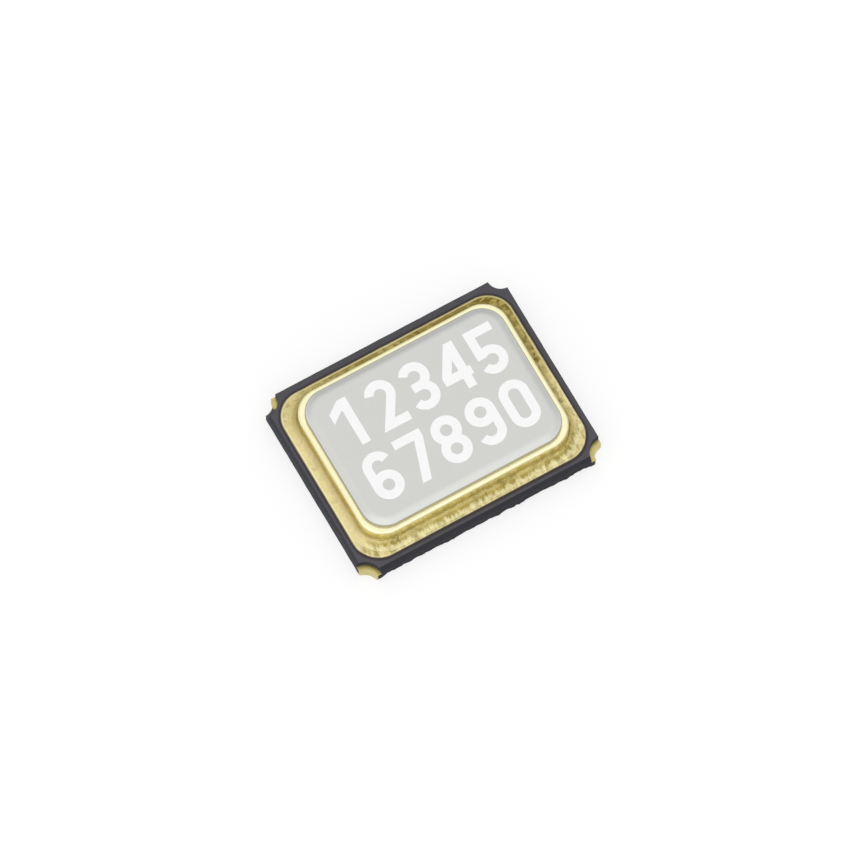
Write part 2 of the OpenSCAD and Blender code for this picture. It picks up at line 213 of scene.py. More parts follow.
def new_material(name, colour, roughness, metallic=0.0, **sockets):
    """Principled material; gives the material, its tree, its shader and its place in millimetres."""
    made = bpy.data.materials.new(name)
    made.use_nodes = True
    tree = made.node_tree
    shader = tree.nodes["Principled BSDF"]
    shader.inputs["Base Color"].default_value = (*colour, 1)
    shader.inputs["Roughness"].default_value = roughness
    shader.inputs["Metallic"].default_value = metallic
    for key, value in sockets.items():
        shader.inputs[key.replace("_", " ")].default_value = value
    place = node(tree, "ShaderNodeMapping", {"Vector": node(tree, "ShaderNodeTexCoord").outputs["Object"],
                                             "Scale": (1 / MM,) * 3})
    return made, tree, shader, place.outputs[0]


def feed(tree, shader, **outputs):
    """Links outputs to the shader's sockets of those names."""
    for key, value in outputs.items():
        tree.links.new(value, shader.inputs[key.replace("_", " ")])


def bump(tree, shader, height, depth):
    """Feeds a height to the shader's normal; the depth is in millimetres."""
    made = node(tree, "ShaderNodeBump", {"Height": height, "Distance": depth * MM, "Strength": 1.0})
    feed(tree, shader, Normal=made.outputs[0])


# Fine grain of fired, rolled, printed and plated surfaces, with slow clouds over it
grain_group, g_in, g_out = new_group(
    "fine_grain", {"Place": None, "Grain": 80.0, "Cloud": 5.0}, ("Grain", "Cloud"))
for label, detail in (("Grain", 3.0), ("Cloud", 2.0)):
    speckle = node(grain_group, "ShaderNodeTexNoise",
                   {"Vector": g_in["Place"], "Scale": g_in[label], "Detail": detail, "Roughness": 0.6})
    spread = map_range(grain_group, speckle.outputs["Fac"], 0.25, 0.75, kind="LINEAR")
    grain_group.links.new(spread, g_out[label])

# Distance in millimetres from the outline of a rectangle with round corners, positive outside it
outline_group, g_in, g_out = new_group(
    "outline_distance",
    {"Place": None, "Half Length": 1.0, "Half Width": 1.0, "Corner Radius": 0.3}, ("Distance",))
over = []
for along, half_name in zip(split(outline_group, g_in["Place"]), ("Half Length", "Half Width")):
    side_end = math_node(outline_group, "SUBTRACT", g_in[half_name], g_in["Corner Radius"])
    over.append(math_node(outline_group, "SUBTRACT", math_node(outline_group, "ABSOLUTE", along), side_end))
outside = [math_node(outline_group, "MAXIMUM", value, 0.0) for value in over]
squares = [math_node(outline_group, "MULTIPLY", value, value) for value in outside]
reach = math_node(outline_group, "SQRT", math_node(outline_group, "ADD", *squares))
inside = math_node(outline_group, "MINIMUM", math_node(outline_group, "MAXIMUM", *over), 0.0)
rounded = math_node(outline_group, "SUBTRACT", math_node(outline_group, "ADD", reach, inside),
                    g_in["Corner Radius"])
outline_group.links.new(rounded, g_out["Distance"])


def distance_from(tree, place, corner, radius):
    """Distance from the round outline round the origin that reaches out to a corner point."""
    return place_group(tree, outline_group, Place=place, Half_Length=corner.x, Half_Width=corner.y,
                       Corner_Radius=radius)["Distance"]


CERAMIC = (0.092, 0.088, 0.101)
CERAMIC_PALE = (0.108, 0.104, 0.117)
CERAMIC_BESIDE_PRINT = (0.040, 0.028, 0.030)
CERAMIC_SNAPPED_SHADED = (0.025, 0.027, 0.033)
CERAMIC_LIT_MINUS_X = (0.062, 0.063, 0.074)
CERAMIC_BEVEL_SHADE = (0.036, 0.037, 0.044)
CERAMIC_LIT_BELOW = (0.15, 0.15, 0.17)

# Fired skin on top, darker in a thin band beside the print; torn grain on the snapped sides, darker still
# as painted shade, with painted shade on the bevels and painted light on the sides facing -X and where it
# faces down
ceramic, tree, shader, place = new_material("black alumina", CERAMIC, 0.7, Specular_IOR_Level=0.12)
grain = place_group(tree, grain_group, Place=place, Grain=110.0, Cloud=6.0)
facing = facing_axes(tree)
upright = math_node(tree, "ABSOLUTE", facing[2])
snapped = map_range(tree, upright, 0.75, 0.9, 1.0, 0.0)
scored = map_range(tree, upright, 0.15, 0.4)
lit_minus_x = map_range(tree, facing[0], -0.75, -0.45, 1.0, 0.0)
lit_below = map_range(tree, facing[2], -0.4, -0.15, 1.0, 0.0)
# Darker in a thin band just beside the seal print
darkening = map_range(tree, distance_from(tree, place, metal_high, SEAL_METAL_R), *BESIDE_PRINT_FADE, 1.0, 0.0)
tone = blend_colour(tree, CERAMIC, CERAMIC_PALE, grain["Grain"], 0.55)
tone = blend_colour(tree, tone, CERAMIC_SNAPPED_SHADED, grain["Cloud"], 0.18)
tone = blend_colour(tree, tone, CERAMIC_BESIDE_PRINT, darkening, 0.65)
# Torn grain on the snapped sides, kept darker than the fired skin partly as painted shade
torn_and_shaded = blend_colour(tree, CERAMIC_SNAPPED_SHADED, CERAMIC, grain["Grain"], 0.45)
tone = blend_colour(tree, tone, torn_and_shaded, snapped)
# Painted shade on the score bevels
tone = blend_colour(tree, tone, CERAMIC_BEVEL_SHADE, scored, snapped)
# Painted light on the sides that face -X
tone = blend_colour(tree, tone, CERAMIC_LIT_MINUS_X, lit_minus_x, 0.8)
# Painted light where the ceramic faces down, towards its shadow on the table
tone = blend_colour(tree, tone, CERAMIC_LIT_BELOW, lit_below)
feed(tree, shader, Base_Color=tone, Roughness=between(tree, grain["Grain"], 0.62, 0.82))
bump(tree, shader, math_node(tree, "ADD", grain["Grain"], times(tree, snapped, grain["Cloud"])), 0.0012)


def side_frame(turn, length, width):
    """Of the -Y, +X, +Y or -X side: half its length, its distance out, and the ways along and out."""
    half, off = (length / 2, width / 2) if turn % 2 == 0 else (width / 2, length / 2)
    way = Vector((math.cos(turn * QUARTER), math.sin(turn * QUARTER), 0))
    return half, off, way, Vector((way.y, -way.x, 0))


def snap_wave(along, z, turn, depth):
    """How far a snapped side lies back, in millimetres."""
    rough = 0.0
    for per_length, per_height, per_turn, share in SNAP_WAVES:
        rough += noise.noise(Vector((along * per_length, z * per_height, turn * per_turn))) * share
    return depth * min(1.0, max(0.0, 0.5 + rough))


def package_outline(z, insets, depths, lined):
    """Counter-clockwise outline at one height, set in and chipped by side; lined in the lower layers."""
    points = []
    for turn in range(4):
        half, off, way, out = side_frame(turn, 2 * base_high.x, 2 * base_high.y)
        inset, next_inset = insets[turn], insets[(turn + 1) % 4]
        first = math.sqrt(NOTCHES[turn - 1] ** 2 - inset ** 2) - half
        last = half - math.sqrt(NOTCHES[turn] ** 2 - inset ** 2)
        if lined:
            points.append(way * (math.sqrt(LINING_R ** 2 - inset ** 2) - half) + out * (off - inset))
        steps = round(2 * (half - NOTCH_R) / SIDE_STEP)
        for i in range(steps + 1):
            along = first + (last - first) * i / steps
            fade = min(1.0, min(along - first, last - along) / SNAP_FADE)
            points.append(way * along + out * (off - inset - fade * snap_wave(along, z, turn, depths[turn])))
        radius = LINING_R if lined else NOTCHES[turn]
        start, end = math.asin(inset / radius), QUARTER - math.asin(next_inset / radius)
        for i in range(0 if lined else 1, NOTCH_STEPS):
            angle = start + (end - start) * i / NOTCH_STEPS
            points.append(way * half + out * off - (way * math.cos(angle) + out * math.sin(angle)) * radius)
    return [point + Vector((0, 0, z)) for point in points]


def rounded_outline(length, width, radius, z, corner_steps=10, side_steps=1, x=0.0, wander=0.0):
    """Counter-clockwise outline of a rectangle with round corners at one height."""
    points = []
    for turn in range(4):
        half, off, way, out = side_frame(turn, length, width)
        for i in range(side_steps):
            points.append((way * ((half - radius) * (2 * i / side_steps - 1)) + out * off, out))
        centre = way * (half - radius) + out * (off - radius)
        for i in range(corner_steps):
            angle = QUARTER * i / corner_steps
            ray = out * math.cos(angle) + way * math.sin(angle)
            points.append((centre + ray * radius, ray))
    moved = []
    for point, ray in points:
        shift = wander * sum(noise.noise(point * waves) * share for waves, share in WANDER_WAVES)
        moved.append(point + ray * shift + Vector((x, 0, z)))
    return moved


def corner_rays(x, y, skip=0.0):
    """Rays from the corner with the signs x and y into the block, over a quarter turn less both skips."""
    angles = [skip + (QUARTER - 2 * skip) * i / NOTCH_STEPS for i in range(NOTCH_STEPS + 1)]
    return [Vector((-x * math.cos(angle), -y * math.sin(angle), 0)) for angle in angles]


# Heights with each side's inset by the score bevel and its share of chips; sides -Y, +X, +Y, -X
NONE = (0.0,) * 4
BEVEL = (SCORE_BEVEL,) * 4
TORN = (1.2, 1.0, 1.0, 0.5)
top_z = base_high.z
lower_levels = [(base_low.z, BEVEL, NONE),
                (base_low.z + SCORE_BEVEL, NONE, (1.8, 0.5, 0.5, 0.2)),
                (0.06, NONE, (1.6, 1.0, 1.0, 0.3))]
lower_levels += [(z, NONE, TORN) for z in (0.08, 0.1, 0.12, 0.145, LEDGE_Z)]
upper_levels = [(z, NONE, TORN) for z in (LEDGE_Z, 0.19, 0.21)]
upper_levels += [(top_z - 0.045, (0.004, 0.0, 0.0, 0.0), (0.8,) * 4),
                 (top_z - SCORE_BEVEL, (0.014, 0.0, 0.0, 0.002), (0.4,) * 4),
                 (top_z - 0.012, (0.031, 0.002, 0.0, 0.018), (0.2,) * 4),
                 (top_z, (0.044, 0.012, 0.012, SCORE_BEVEL), NONE)]

base = bmesh.new()
for levels, lined in ((lower_levels, True), (upper_levels, False)):
    add_grid(base, [package_outline(z, insets, [SNAP_DEPTH * share for share in shares], lined)
                    for z, insets, shares in levels], True)
for notch_r, (x, y) in zip(NOTCHES, ((1, -1), (1, 1), (-1, 1), (-1, -1))):
    corner = Vector((x * base_high.x, y * base_high.y, LEDGE_Z))
    add_grid(base, [[corner + ray * radius for ray in corner_rays(x, y)] for radius in (LINING_R, notch_r)])
add_grid(base, [rounded_outline(WELL["length"], WELL["width"], WELL["radius"], z, x=WELL["x"])
                for z in (WELL["z"], top_z)], True)
weld(base)
for z in (base_low.z, WELL["z"], top_z):
    fill_level(base, z)
base_piece = make_piece("ceramic_block", base, ceramic)
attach(base_piece, "root")
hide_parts("ceramic_base")


# ------------------------------------------------------------------------------------------------
# Terminals: tungsten paste printed under the block, sucked through the corner holes before firing
# and gold plated. Each is a solder pad and the lining and ledge of its castellation. Terminal 1 has a
# chamfered pad, and ceramic was smeared over half a ledge.
# ------------------------------------------------------------------------------------------------

PAD_L, PAD_W = 1.0, 0.8
PAD_SETBACK = 0.05
PIN_ONE_CHAMFER = 0.22
PLATING_EDGE_R = 0.005
EDGE_CUT = 0.3 * PLATING_EDGE_R
SMEAR_SLANT = (-0.38, -0.32)
SMEAR_FROM_Y = (0.95, 1.0)
SMEAR_FROM_Z = (0.03, 0.06)
TERMINAL_GOLD = (0.68, 0.59, 0.23)
TERMINAL_WORN = (0.44, 0.36, 0.12)

# Blotches and fine pits of plated or soldered metal
plating_group, g_in, g_out = new_group(
    "plating_blotches", {"Place": None, "Blotch": 22.0, "Pit": 90.0}, ("Blotch", "Pit"))
clouds = node(plating_group, "ShaderNodeTexNoise", {"Vector": g_in["Place"], "Scale": g_in["Blotch"],
                                                    "Detail": 3.0, "Roughness": 0.65, "Distortion": 0.6})
plating_group.links.new(map_range(plating_group, clouds.outputs["Fac"], 0.42, 0.66), g_out["Blotch"])
pits = node(plating_group, "ShaderNodeTexVoronoi", {"Vector": g_in["Place"], "Scale": g_in["Pit"]})
plating_group.links.new(map_range(plating_group, pits.outputs["Distance"], 0.0, 0.7), g_out["Pit"])

gold, tree, shader, place = new_material("flash gold over nickel", TERMINAL_GOLD, 0.36, 1.0)
plating = place_group(tree, plating_group, Place=place, Blotch=7.0, Pit=70.0)
grain = place_group(tree, grain_group, Place=place, Grain=60.0, Cloud=9.0)
tone = blend_colour(tree, TERMINAL_GOLD, TERMINAL_WORN, plating["Blotch"], 0.35)
tone = blend_colour(tree, tone, TERMINAL_WORN, grain["Grain"], 0.25)
spot = split(tree, place)
smear = times(tree, map_range(tree, math_node(tree, "ADD", spot[0], spot[1]), *SMEAR_SLANT, 1.0, 0.0),
              map_range(tree, spot[1], *SMEAR_FROM_Y), map_range(tree, spot[2], *SMEAR_FROM_Z))
satin = between(tree, grain["Cloud"], 0.30, 0.44)
feed(tree, shader, Base_Color=blend_colour(tree, tone, CERAMIC, smear),
     Metallic=math_node(tree, "SUBTRACT", 1.0, smear),
     Roughness=math_node(tree, "MAXIMUM", satin, times(tree, smear, 0.7)))
bump(tree, shader, math_node(tree, "ADD", grain["Cloud"], plating["Pit"]), 0.0004)

for number, (x, y) in enumerate(((-1, -1), (1, -1), (1, 1), (-1, 1)), start=1):
    name = f"terminal_{number}"
    ledge_top = box_mm(name)[1].z
    corner = Vector((x * base_high.x, y * base_high.y, 0))
    section = [(LINING_R, METAL_T), (CASTELLATION_R, METAL_T),
               (CASTELLATION_R, ledge_top - PLATING_EDGE_R),
               (CASTELLATION_R + EDGE_CUT, ledge_top - EDGE_CUT),
               (CASTELLATION_R + PLATING_EDGE_R, ledge_top),
               (NOTCH_R, ledge_top), (NOTCH_R, LEDGE_Z), (LINING_R, LEDGE_Z)]
    terminal = bmesh.new()
    add_grid(terminal, [[corner + ray * radius + Vector((0, 0, z)) for radius, z in section]
                        for ray in corner_rays(x, y)], True)
    weld(terminal)

    # The lining ends flush with the block's two sides, and is cut off along their lower bevels
    for axis in (0, 1):
        ends = [e for e in terminal.edges
                if e.is_boundary and abs(abs(e.verts[0].co[axis]) - base_high[axis]) < NEAR]
        bmesh.ops.contextual_create(terminal, geom=ends)
    for axis, sign in enumerate((x, y)):
        normal = Vector((0, 0, -1))
        normal[axis] = sign
        on_plane = Vector((0, 0, METAL_T + SCORE_BEVEL))
        on_plane[axis] = sign * base_high[axis]
        whole = terminal.verts[:] + terminal.edges[:] + terminal.faces[:]
        cut = bmesh.ops.bisect_plane(terminal, geom=whole, plane_co=on_plane, plane_no=normal,
                                     clear_outer=True, dist=1e-6)
        rim = [e for e in cut["geom_cut"] if isinstance(e, bmesh.types.BMEdge) and e.is_boundary]
        bmesh.ops.holes_fill(terminal, edges=rim, sides=0)

    pad_outer = Vector((x * (base_high.x - PAD_SETBACK), y * (base_high.y - PAD_SETBACK), 0))
    pad_inner = Vector((pad_outer.x - x * PAD_L, pad_outer.y - y * PAD_W, 0))
    skip = math.asin(PAD_SETBACK / CASTELLATION_R)
    outline = [corner + ray * CASTELLATION_R for ray in corner_rays(x, y, skip)]
    outline.append(Vector((pad_outer.x, pad_inner.y, 0)))
    if number == 1:
        outline.append(pad_inner + Vector((x * PIN_ONE_CHAMFER, 0, 0)))
        outline.append(pad_inner + Vector((0, y * PIN_ONE_CHAMFER, 0)))
    else:
        outline.append(pad_inner)
    outline.append(Vector((pad_inner.x, pad_outer.y, 0)))
    pad = bmesh.new()
    add_grid(pad, [[point + Vector((0, 0, z)) for point in outline] for z in (0.0, METAL_T)], True)
    weld(pad)
    fill_level(pad, 0.0)
    fill_level(pad, METAL_T)
    bmesh.ops.recalc_face_normals(pad, faces=pad.faces)
    rim = [e for e in pad.edges if all(v.co.z < 1e-5 for v in e.verts) and e.calc_face_angle(0) > 0.5]
    bmesh.ops.bevel(pad, geom=rim, offset=PLATING_EDGE_R, segments=3, profile=0.5, affect="EDGES")
    pad_data = bpy.data.meshes.new("pad_draft")
    pad.to_mesh(pad_data)
    pad.free()
    terminal.from_mesh(pad_data)
    bpy.data.meshes.remove(pad_data)
    piece = make_piece(name + "_plated", terminal, gold)
    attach(piece, "root")
    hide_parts(name)


# ------------------------------------------------------------------------------------------------
# Buried metal: tungsten paste that fills punched holes and was fired with the ceramic. Tracks and
# quartz pads are the same paste, plated with nickel and gold where they lie open in the cavity.
# ------------------------------------------------------------------------------------------------

TUNGSTEN = (0.30, 0.28, 0.25)
TUNGSTEN_DARK = (0.15, 0.14, 0.13)

tungsten, tree, shader, place = new_material("fired tungsten", TUNGSTEN, 0.55, 1.0)
grain = place_group(tree, grain_group, Place=place, Grain=95.0, Cloud=14.0)
feed(tree, shader, Base_Color=blend_colour(tree, TUNGSTEN, TUNGSTEN_DARK, grain["Grain"]),
     Roughness=between(tree, grain["Cloud"], 0.48, 0.68))
bump(tree, shader, grain["Grain"], 0.0018)


def dress(material, *names):
    """Gives carried-over CAD nodes their finish."""
    for name in names:
        for slot in cad_nodes[name].material_slots:
            slot.material = material


dress(tungsten, "terminal_vias", "quartz_vias", "seal_via")
dress(gold, "die_tracks", "quartz_pad_1", "quartz_pad_2")


# ------------------------------------------------------------------------------------------------
# Oscillator die: silicon, sawn from its wafer and bonded face down on gold balls, so the ground
# back of the die looks up at the quartz.
# ------------------------------------------------------------------------------------------------

SILICON = (0.085, 0.095, 0.125)
SILICON_GROUND = (0.125, 0.135, 0.165)
BALL_GOLD = (0.95, 0.72, 0.30)

# Lines left by grinding, rolling and rubbing; the scale is per millimetre along the turned X, Y and Z
lines_group, g_in, g_out = new_group(
    "drawn_lines", {"Place": None, "Scale": None, "Turn": 0.0, "Detail": 3.0, "Roughness": 0.5,
                    "Distortion": 0.0}, ("Lines",))
turned = node(lines_group, "ShaderNodeCombineXYZ", {"Z": g_in["Turn"]})
drawn = node(lines_group, "ShaderNodeMapping",
             {"Vector": g_in["Place"], "Rotation": turned.outputs[0], "Scale": g_in["Scale"]})
lines = node(lines_group, "ShaderNodeTexNoise",
             {"Vector": drawn.outputs[0], "Scale": 1.0, "Detail": g_in["Detail"],
              "Roughness": g_in["Roughness"], "Distortion": g_in["Distortion"]})
lines_group.links.new(lines.outputs["Fac"], g_out["Lines"])

silicon, tree, shader, place = new_material("ground silicon", SILICON, 0.22, 0.85)
grind = place_group(tree, lines_group, Place=place, Scale=(8.0, 240.0, 32.0), Turn=0.5, Detail=4.0)["Lines"]
grain = place_group(tree, grain_group, Place=place, Grain=60.0, Cloud=4.0)
feed(tree, shader, Base_Color=blend_colour(tree, SILICON, SILICON_GROUND, grind),
     Roughness=between(tree, grain["Cloud"], 0.16, 0.32))
bump(tree, shader, grind, 0.0006)
dress(silicon, "oscillator_die")

balls, tree, shader, place = new_material("bonding gold", BALL_GOLD, 0.3, 1.0)
grain = place_group(tree, grain_group, Place=place, Grain=140.0, Cloud=20.0)
feed(tree, shader, Base_Color=blend_colour(tree, BALL_GOLD, TERMINAL_GOLD, grain["Cloud"], 0.5),
     Roughness=between(tree, grain["Grain"], 0.24, 0.4))
bump(tree, shader, grain["Grain"], 0.0012)
dress(balls, "die_bumps")


# ------------------------------------------------------------------------------------------------
# Quartz: a lapped plate cut from a grown crystal, with silver films evaporated on both faces. It
# stands on two dots of silver-filled adhesive at one end, and the other end swings free.
# ------------------------------------------------------------------------------------------------

QUARTZ = (0.96, 0.985, 0.99)
SILVER = (0.90, 0.89, 0.87)
SILVER_DULL = (0.72, 0.70, 0.66)
ADHESIVE = (0.52, 0.52, 0.50)
ADHESIVE_DARK = (0.36, 0.36, 0.35)

quartz, tree, shader, place = new_material("lapped quartz", QUARTZ, 0.12, IOR=1.54, Transmission_Weight=1.0)
grain = place_group(tree, grain_group, Place=place, Grain=130.0, Cloud=7.0)
feed(tree, shader, Base_Color=blend_colour(tree, QUARTZ, SILVER, grain["Cloud"], 0.15),
     Roughness=between(tree, grain["Cloud"], 0.08, 0.2))
bump(tree, shader, grain["Grain"], 0.0004)
dress(quartz, "quartz_blank")

silver, tree, shader, place = new_material("evaporated silver", SILVER, 0.16, 1.0)
grain = place_group(tree, grain_group, Place=place, Grain=130.0, Cloud=7.0)
feed(tree, shader, Base_Color=blend_colour(tree, SILVER, SILVER_DULL, grain["Cloud"], 0.5),
     Roughness=between(tree, grain["Grain"], 0.1, 0.24))
bump(tree, shader, grain["Grain"], 0.0004)
dress(silver, "electrode_upper", "electrode_lower")

adhesive, tree, shader, place = new_material("silver-filled adhesive", ADHESIVE, 0.5, 0.35)
plating = place_group(tree, plating_group, Place=place, Blotch=30.0, Pit=80.0)
feed(tree, shader, Base_Color=blend_colour(tree, ADHESIVE_DARK, ADHESIVE, plating["Pit"]),
     Roughness=between(tree, plating["Blotch"], 0.4, 0.6))
bump(tree, shader, plating["Pit"], 0.0025)
dress(adhesive, "adhesive_1", "adhesive_2")


# ------------------------------------------------------------------------------------------------
# Seal metal: a frame of tungsten paste printed on the block and fired with it, plated with nickel
# and gold. The print runs a little at its outer edge, and only a narrow lip of it stays bare.
# ------------------------------------------------------------------------------------------------

OPENING_L, OPENING_W, OPENING_R = 2.33, 1.59, 0.12
PRINT_EDGE_W = 0.034
PRINT_EDGE_STEPS = 8
PRINT_WANDER = 0.004
SEAL_CORNER_STEPS = 24
SEAL_SIDE_STEPS = 60
DASH_FADE = (-0.045, -0.02)
HIGHLIGHT_BAND_FADE = (-0.035, -0.018)
EDGE_DARK_FADE = (-0.02, -0.006)
LIP_GOLD = (0.82, 0.71, 0.36)
LIP_BRIGHT = (1.0, 0.95, 0.58)
LIP_WORN = (0.60, 0.49, 0.20)
LIP_FAR_SHADE = (0.37, 0.29, 0.06)
LIP_STREAK = (0.36, 0.28, 0.085)
LIP_EDGE_DARK = (0.10, 0.075, 0.055)
LIP_STAIN = (0.13, 0.09, 0.018)

# Side weights: painted shade towards the +X +Y corner, painted light on the -X side, and a -Y side weight for
# streaks, painted shade and a painted highlight. Fine streaks run across the band, and slanting dashes of
# stain lie along it.
shade_and_streaks_group, g_in, g_out = new_group(
    "uneven_plating", {"Place": None}, ("Dull", "Pale", "Amber", "Streak", "Dash"))
spot = split(shade_and_streaks_group, g_in["Place"])
cloud = node(shade_and_streaks_group, "ShaderNodeTexNoise", {"Vector": g_in["Place"], "Scale": 2.2, "Detail": 2.0})
slant = math_node(shade_and_streaks_group, "ADD", spot[1], times(shade_and_streaks_group, spot[0], 0.3))
far_shade = map_range(shade_and_streaks_group, math_node(shade_and_streaks_group, "ADD", slant, cloud.outputs["Fac"]), 0.55, 1.95)
streaks = place_group(shade_and_streaks_group, lines_group, Place=g_in["Place"], Scale=(20.0, 7.0, 5.0),
                      Roughness=0.55, Distortion=0.5)["Lines"]
dashes = place_group(shade_and_streaks_group, lines_group, Place=g_in["Place"], Scale=(8.0, 17.0, 5.0), Turn=0.15,
                     Detail=2.0, Distortion=0.4)["Lines"]
dashes = math_node(shade_and_streaks_group, "ADD", dashes, times(shade_and_streaks_group, far_shade, 0.1))
for label, mask in (("Dull", far_shade),
                    ("Pale", map_range(shade_and_streaks_group, spot[0], -1.38, -1.1, 1.0, 0.0)),
                    ("Amber", map_range(shade_and_streaks_group, spot[1], -1.0, -0.75, 1.0, 0.0)),
                    ("Streak", map_range(shade_and_streaks_group, streaks, 0.34, 0.68)),
                    ("Dash", map_range(shade_and_streaks_group, dashes, 0.52, 0.66))):
    shade_and_streaks_group.links.new(mask, g_out[label])

lip_gold, tree, shader, place = new_material("plated seal frame", LIP_GOLD, 0.4, 1.0)
shade_and_streaks = place_group(tree, shade_and_streaks_group, Place=place)
plating = place_group(tree, plating_group, Place=place, Blotch=12.0, Pit=60.0)
grain = place_group(tree, grain_group, Place=place, Grain=60.0, Cloud=6.0)
beside = distance_from(tree, place, metal_high, SEAL_METAL_R)
dashed = map_range(tree, beside, *DASH_FADE, 0.85, 0.0)
highlight_band = map_range(tree, beside, *HIGHLIGHT_BAND_FADE)
edge_dark_by_side = times(tree, math_node(tree, "MAXIMUM", shade_and_streaks["Pale"], shade_and_streaks["Dull"]), 0.65)
edge_dark_share = math_node(tree, "MAXIMUM", shade_and_streaks["Amber"], edge_dark_by_side)
tone = blend_colour(tree, LIP_GOLD, LIP_BRIGHT, grain["Cloud"], 0.5)
# Worn blotches, fewer of them on the -X side as painted light
tone = blend_colour(tree, tone, LIP_WORN, plating["Blotch"], between(tree, shade_and_streaks["Pale"], 0.7, 0.2))
tone = blend_colour(tree, tone, LIP_STREAK, shade_and_streaks["Amber"], between(tree, shade_and_streaks["Streak"], 0.15, 0.8))
# Painted shade towards the +X +Y corner
tone = blend_colour(tree, tone, LIP_FAR_SHADE, shade_and_streaks["Dull"], 0.9)
# Stain dashes, more of them towards the +X +Y corner as painted shade
tone = blend_colour(tree, tone, LIP_STAIN, shade_and_streaks["Dash"], shade_and_streaks["Dull"], dashed)
# Painted highlight on a band near the frame's outer edge
tone = blend_colour(tree, tone, LIP_BRIGHT, highlight_band, between(tree, shade_and_streaks["Dull"], 0.3, 0.45))
# Darker at the frame's very outer edge, most on the -Y side
tone = blend_colour(tree, tone, LIP_EDGE_DARK, map_range(tree, beside, *EDGE_DARK_FADE), edge_dark_share)
feed(tree, shader, Base_Color=tone, Roughness=between(tree, plating["Blotch"], 0.3, 0.5))
bump(tree, shader, math_node(tree, "ADD", plating["Pit"], grain["Cloud"]), 0.0010)

seal_l, seal_w = 2 * metal_high.x, 2 * metal_high.y
print_edge = [(0.0, 0.0)]
for i in range(1, PRINT_EDGE_STEPS + 1):
    angle = QUARTER * i / PRINT_EDGE_STEPS
    print_edge.append((PRINT_EDGE_W * (1 - math.cos(angle)), METAL_T * math.sin(angle)))
loops = [rounded_outline(seal_l - 2 * back, seal_w - 2 * back, SEAL_METAL_R - back, metal_low.z + up,
                         SEAL_CORNER_STEPS, SEAL_SIDE_STEPS, wander=PRINT_WANDER) for back, up in print_edge]
loops += [rounded_outline(OPENING_L, OPENING_W, OPENING_R, z, SEAL_CORNER_STEPS, SEAL_SIDE_STEPS)
          for z in (metal_high.z, metal_low.z)]
seal_frame = bmesh.new()
add_grid(seal_frame, loops + loops[:1], True)
frame_piece = make_piece("seal_frame", seal_frame, lip_gold)
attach(frame_piece, "root")
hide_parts("seal_metal")


# ------------------------------------------------------------------------------------------------
# Braze: silver-copper solder that ran in under the seal ring and drew up its side in a hollow
# fillet as it melted. It was plated over with the rest and kept the melt's blotchy skin.
# ------------------------------------------------------------------------------------------------

RING_R = 0.32
RING_WALL = 0.2
RING_CORNER_STEPS = 24
FILLET_W = 0.12
FILLET_STEPS = 14
SWEEP_STEP = 0.02
BRAZE_SINK = 0.004
BRAZE_RIPPLE = 0.006
RIPPLE_FROM_Z = 0.015
CREASE_SHADE_FADE = (0.01, 0.04)
SHADE_MINUS_Y_FADE = (0.02, 0.048)
STREAK_FADE = (0.045, 0.075)
FOOT_HIGHLIGHT_FADE = (0.01, 0.075)
FRAY_REACH = 0.06
FOOT_LIGHT_FADE = (0.05, 0.1)
BRAZE_GOLD = (0.62, 0.52, 0.19)
BRAZE_PALE = (0.80, 0.68, 0.32)
BRAZE_SHADE_OLIVE = (0.39, 0.305, 0.062)
BRAZE_PINK = (0.80, 0.64, 0.42)
BRAZE_DARK = (0.21, 0.15, 0.03)

# Sweeps a section, drawn as a closed curve, round a rectangle with round corners, and ripples its skin
sweep_tree = bpy.data.node_groups.new("sweep_round_the_seal", "GeometryNodeTree")
for label, kind in (("Length", "Float"), ("Width", "Float"), ("Corner Radius", "Float"),
                    ("Corner Steps", "Int"), ("Step", "Float"), ("Ripple", "Float"),
                    ("Ripple Scale", "Float"), ("Profile", "Object"), ("Material", "Material")):
    sweep_tree.interface.new_socket(label, in_out="INPUT", socket_type="NodeSocket" + kind)
sweep_tree.interface.new_socket("Geometry", in_out="OUTPUT", socket_type="NodeSocketGeometry")
given = node(sweep_tree, "NodeGroupInput").outputs
oblong = node(sweep_tree, "GeometryNodeCurvePrimitiveQuadrilateral",
              {"Width": given["Length"], "Height": given["Width"]}, mode="RECTANGLE")
rounded = node(sweep_tree, "GeometryNodeFilletCurve",
               {"Curve": oblong.outputs[0], "Radius": given["Corner Radius"], "Count": given["Corner Steps"]},
               mode="POLY")
stepped = node(sweep_tree, "GeometryNodeResampleCurve",
               {"Curve": rounded.outputs[0], "Length": given["Step"]}, mode="LENGTH")
level_curve = node(sweep_tree, "GeometryNodeSetCurveNormal", {"Curve": stepped.outputs[0]}, mode="Z_UP")
profile = node(sweep_tree, "GeometryNodeObjectInfo", {"Object": given["Profile"]}, transform_space="ORIGINAL")
swept = node(sweep_tree, "GeometryNodeCurveToMesh",
             {"Curve": level_curve.outputs[0], "Profile Curve": profile.outputs["Geometry"]})
position = node(sweep_tree, "GeometryNodeInputPosition").outputs[0]
waves = node(sweep_tree, "ShaderNodeTexNoise",
             {"Vector": position, "Scale": given["Ripple Scale"], "Detail": 3.0, "Roughness": 0.6})
grown = map_range(sweep_tree, split(sweep_tree, position)[2], 0.0, RIPPLE_FROM_Z, kind="LINEAR")
ripple = times(sweep_tree, given["Ripple"], grown)
push = times(sweep_tree, math_node(sweep_tree, "SUBTRACT", waves.outputs["Fac"], 0.5), ripple)
offset = node(sweep_tree, "ShaderNodeVectorMath",
              {0: node(sweep_tree, "GeometryNodeInputNormal").outputs[0], "Scale": push}, operation="SCALE")
rippled = node(sweep_tree, "GeometryNodeSetPosition",
               {"Geometry": swept.outputs[0], "Offset": offset.outputs[0]})
